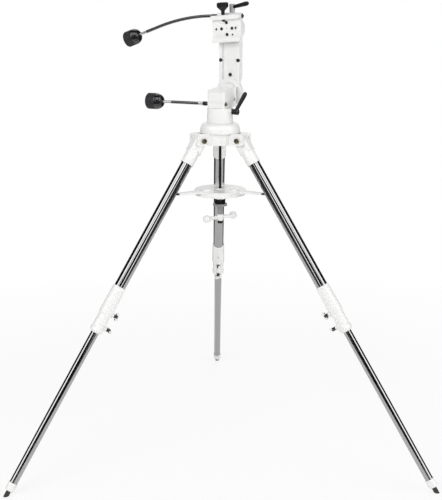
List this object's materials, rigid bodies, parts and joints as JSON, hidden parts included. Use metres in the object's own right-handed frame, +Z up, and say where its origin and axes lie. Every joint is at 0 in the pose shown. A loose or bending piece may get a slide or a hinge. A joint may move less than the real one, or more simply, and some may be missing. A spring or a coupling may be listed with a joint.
{
  "type": "alt-azimuth telescope mount on a tripod",
  "caption": "White alt-azimuth telescope mount with worm slow motions, a dovetail saddle and clamping levers, on a folding steel-tube tripod with a spreader tray.",
  "frame": {"origin": "on the floor, below the azimuth axis", "axes": "+Z up along the azimuth axis, +Y towards the rear leg, -Y towards the viewer of the picture"},
  "size_m": [1.172, 1.0167, 1.2836],
  "materials": {
    "white_paint": "gloss white paint",
    "tube_steel": "polished stainless",
    "bolt_steel": "zinc plated",
    "rod_steel": "machined",
    "black_steel": "black oxide",
    "chrome": "bright",
    "brass": "machined",
    "black_plastic": "satin black",
    "cable_sheath": "matt black",
    "rubber": "matt black"
  },
  "bodies": {
    "tripod": {"tripod_hub": "white_paint", "leg_hinge_bolts": "bolt_steel", "centre_rod": "rod_steel", "rod_hardware": "rod_steel", "tray_collar": "black_plastic", "azimuth_spindle": "rod_steel"},
    "leg_left": {"yoke_left": "white_paint", "upper_tube_left": "tube_steel", "coupler_left": "white_paint"},
    "lower_leg_left": {"lower_tube_left": "tube_steel", "foot_cap_left": "white_paint", "foot_tip_left": "rubber"},
    "screw_left_upper": {"wing_screw_left_upper": "white_paint"},
    "screw_left_lower": {"wing_screw_left_lower": "white_paint"},
    "leg_right": {"yoke_right": "white_paint", "upper_tube_right": "tube_steel", "coupler_right": "white_paint"},
    "lower_leg_right": {"lower_tube_right": "tube_steel", "foot_cap_right": "white_paint", "foot_tip_right": "rubber"},
    "screw_right_upper": {"wing_screw_right_upper": "white_paint"},
    "screw_right_lower": {"wing_screw_right_lower": "white_paint"},
    "leg_rear": {"yoke_rear": "white_paint", "upper_tube_rear": "tube_steel", "coupler_rear": "white_paint"},
    "lower_leg_rear": {"lower_tube_rear": "tube_steel", "foot_cap_rear": "white_paint", "foot_tip_rear": "rubber"},
    "screw_rear_upper": {"wing_screw_rear_upper": "white_paint"},
    "screw_rear_lower": {"wing_screw_rear_lower": "white_paint"},
    "tray": {"tray": "white_paint", "tray_pads": "rubber"},
    "tray_handle": {"tray_handle": "white_paint"},
    "azimuth_drum": {"azimuth_drum": "white_paint", "azimuth_wheel": "brass"},
    "azimuth_lever": {"azimuth_lever": "black_plastic", "azimuth_lever_stud": "chrome"},
    "azimuth_head": {"azimuth_housing": "white_paint", "azimuth_bushes": "brass", "tilt_bolts": "black_steel"},
    "azimuth_worm": {"azimuth_worm": "rod_steel", "azimuth_ferrules": "chrome", "azimuth_cable": "cable_sheath", "azimuth_knob": "black_plastic"},
    "arm": {"tilt_arm": "white_paint", "arm_screws": "black_steel", "altitude_housing": "white_paint", "altitude_bushes": "black_steel", "altitude_cable": "cable_sheath"},
    "altitude_wheel": {"altitude_wheel": "brass"},
    "altitude_worm": {"altitude_worm": "rod_steel"},
    "altitude_knob": {"altitude_knob": "black_plastic", "altitude_ferrule": "chrome"},
    "altitude_lever": {"altitude_lever": "black_plastic", "altitude_lever_stud": "chrome"},
    "saddle": {"saddle": "white_paint", "saddle_rails": "white_paint", "saddle_screws": "black_steel", "altitude_shaft": "rod_steel"},
    "clamp_knob": {"clamp_knob": "black_plastic"}
  },
  "joints": [
    {"name": "leg_left_fold", "type": "hinge", "parent": "tripod", "child": "leg_left", "pos_m": [-0.05716, -0.033, 0.913], "axis": [0.5, -0.866, 0], "range_deg": [0, 18]},
    {"name": "leg_left_extend", "type": "slide", "parent": "leg_left", "child": "lower_leg_left", "axis": [-0.4767, -0.2752, -0.8348], "range_m": [-0.38, 0.03]},
    {"name": "wing_left_upper_turn", "type": "hinge", "parent": "leg_left", "child": "screw_left_upper", "pos_m": [-0.28666, -0.1655, 0.4457], "axis": [0.723, 0.4174, -0.5505], "range_deg": [0, 180]},
    {"name": "wing_left_lower_turn", "type": "hinge", "parent": "leg_left", "child": "screw_left_lower", "pos_m": [-0.30668, -0.17706, 0.41064], "axis": [0.723, 0.4174, -0.5505], "range_deg": [0, 180]},
    {"name": "leg_right_fold", "type": "hinge", "parent": "tripod", "child": "leg_right", "pos_m": [0.05716, -0.033, 0.913], "axis": [0.5, 0.866, 0], "range_deg": [0, 18]},
    {"name": "leg_right_extend", "type": "slide", "parent": "leg_right", "child": "lower_leg_right", "axis": [0.4767, -0.2752, -0.8348], "range_m": [-0.38, 0.03]},
    {"name": "wing_right_upper_turn", "type": "hinge", "parent": "leg_right", "child": "screw_right_upper", "pos_m": [0.28666, -0.1655, 0.4457], "axis": [-0.723, 0.4174, -0.5505], "range_deg": [0, 180]},
    {"name": "wing_right_lower_turn", "type": "hinge", "parent": "leg_right", "child": "screw_right_lower", "pos_m": [0.30668, -0.17706, 0.41064], "axis": [-0.723, 0.4174, -0.5505], "range_deg": [0, 180]},
    {"name": "leg_rear_fold", "type": "hinge", "parent": "tripod", "child": "leg_rear", "pos_m": [0, 0.066, 0.913], "axis": [-1, 0, 0], "range_deg": [0, 18]},
    {"name": "leg_rear_extend", "type": "slide", "parent": "leg_rear", "child": "lower_leg_rear", "axis": [0, 0.5505, -0.8348], "range_m": [-0.38, 0.03]},
    {"name": "wing_rear_upper_turn", "type": "hinge", "parent": "leg_rear", "child": "screw_rear_upper", "pos_m": [0, 0.331, 0.4457], "axis": [0, -0.8348, -0.5505], "range_deg": [0, 180]},
    {"name": "wing_rear_lower_turn", "type": "hinge", "parent": "leg_rear", "child": "screw_rear_lower", "pos_m": [0, 0.35412, 0.41064], "axis": [0, -0.8348, -0.5505], "range_deg": [0, 180]},
    {"name": "tray_turn", "type": "hinge", "parent": "tripod", "child": "tray", "pos_m": [0, 0, 0.765], "axis": [0, 0, 1], "range_deg": [0, 60]},
    {"name": "tray_handle_turn", "type": "hinge", "parent": "tripod", "child": "tray_handle", "pos_m": [0, 0, 0.689], "axis": [0, 0, 1], "range_deg": [0, 360]},
    {"name": "azimuth_slew", "type": "hinge", "parent": "tripod", "child": "azimuth_drum", "pos_m": [0, 0, 0.975], "axis": [0, 0, 1], "continuous": true},
    {"name": "azimuth_lever_turn", "type": "hinge", "parent": "azimuth_drum", "child": "azimuth_lever", "pos_m": [0.04415, -0.02347, 0.9893], "axis": [0.8829, -0.4695, 0], "range_deg": [-10, 110]},
    {"name": "azimuth_drive", "type": "hinge", "parent": "azimuth_drum", "child": "azimuth_head", "pos_m": [0, 0, 1.01], "axis": [0, 0, 1], "range_deg": [-15, 15]},
    {"name": "azimuth_worm_turn", "type": "hinge", "parent": "azimuth_head", "child": "azimuth_worm", "pos_m": [-0.00833, -0.01567, 1.01], "axis": [0.8829, -0.4695, 0], "range_deg": [-395, 395]},
    {"name": "arm_tilt", "type": "hinge", "parent": "azimuth_head", "child": "arm", "pos_m": [0.02582, 0.04856, 1.038], "axis": [0.4695, 0.8829, 0], "range_deg": [-45, 45]},
    {"name": "altitude_drive", "type": "hinge", "parent": "arm", "child": "altitude_wheel", "pos_m": [0.02911, 0.05474, 1.211], "axis": [0.4695, 0.8829, 0], "continuous": true},
    {"name": "altitude_worm_turn", "type": "hinge", "parent": "arm", "child": "altitude_worm", "pos_m": [0.02911, 0.05474, 1.24475], "axis": [0.8829, -0.4695, 0], "continuous": true},
    {"name": "altitude_knob_turn", "type": "hinge", "parent": "arm", "child": "altitude_knob", "pos_m": [-0.20929, 0.1815, 1.19995], "axis": [0.8334, -0.4431, 0.3304], "continuous": true},
    {"name": "altitude_slip", "type": "hinge", "parent": "altitude_wheel", "child": "saddle", "pos_m": [0.02113, 0.03973, 1.211], "axis": [0.4695, 0.8829, 0], "continuous": true},
    {"name": "altitude_lever_turn", "type": "hinge", "parent": "arm", "child": "altitude_lever", "pos_m": [0.03474, 0.06534, 1.256], "axis": [0, 0, 1], "range_deg": [0, 110]},
    {"name": "clamp_knob_turn", "type": "hinge", "parent": "saddle", "child": "clamp_knob", "pos_m": [0.00776, 0.03551, 1.26545], "axis": [-0.0616, 0.0327, 0.9976], "range_deg": [0, 360]}
  ],
  "couplings": [
    {"joint": "leg_right_fold", "follows": "leg_left_fold", "ratio": 1},
    {"joint": "leg_rear_fold", "follows": "leg_left_fold", "ratio": 1},
    {"joint": "tray_turn", "follows": "leg_left_fold", "ratio": 3.3333},
    {"joint": "azimuth_worm_turn", "follows": "azimuth_drive", "ratio": -26},
    {"joint": "altitude_worm_turn", "follows": "altitude_drive", "ratio": 58},
    {"joint": "altitude_knob_turn", "follows": "altitude_drive", "ratio": 58}
  ]
}
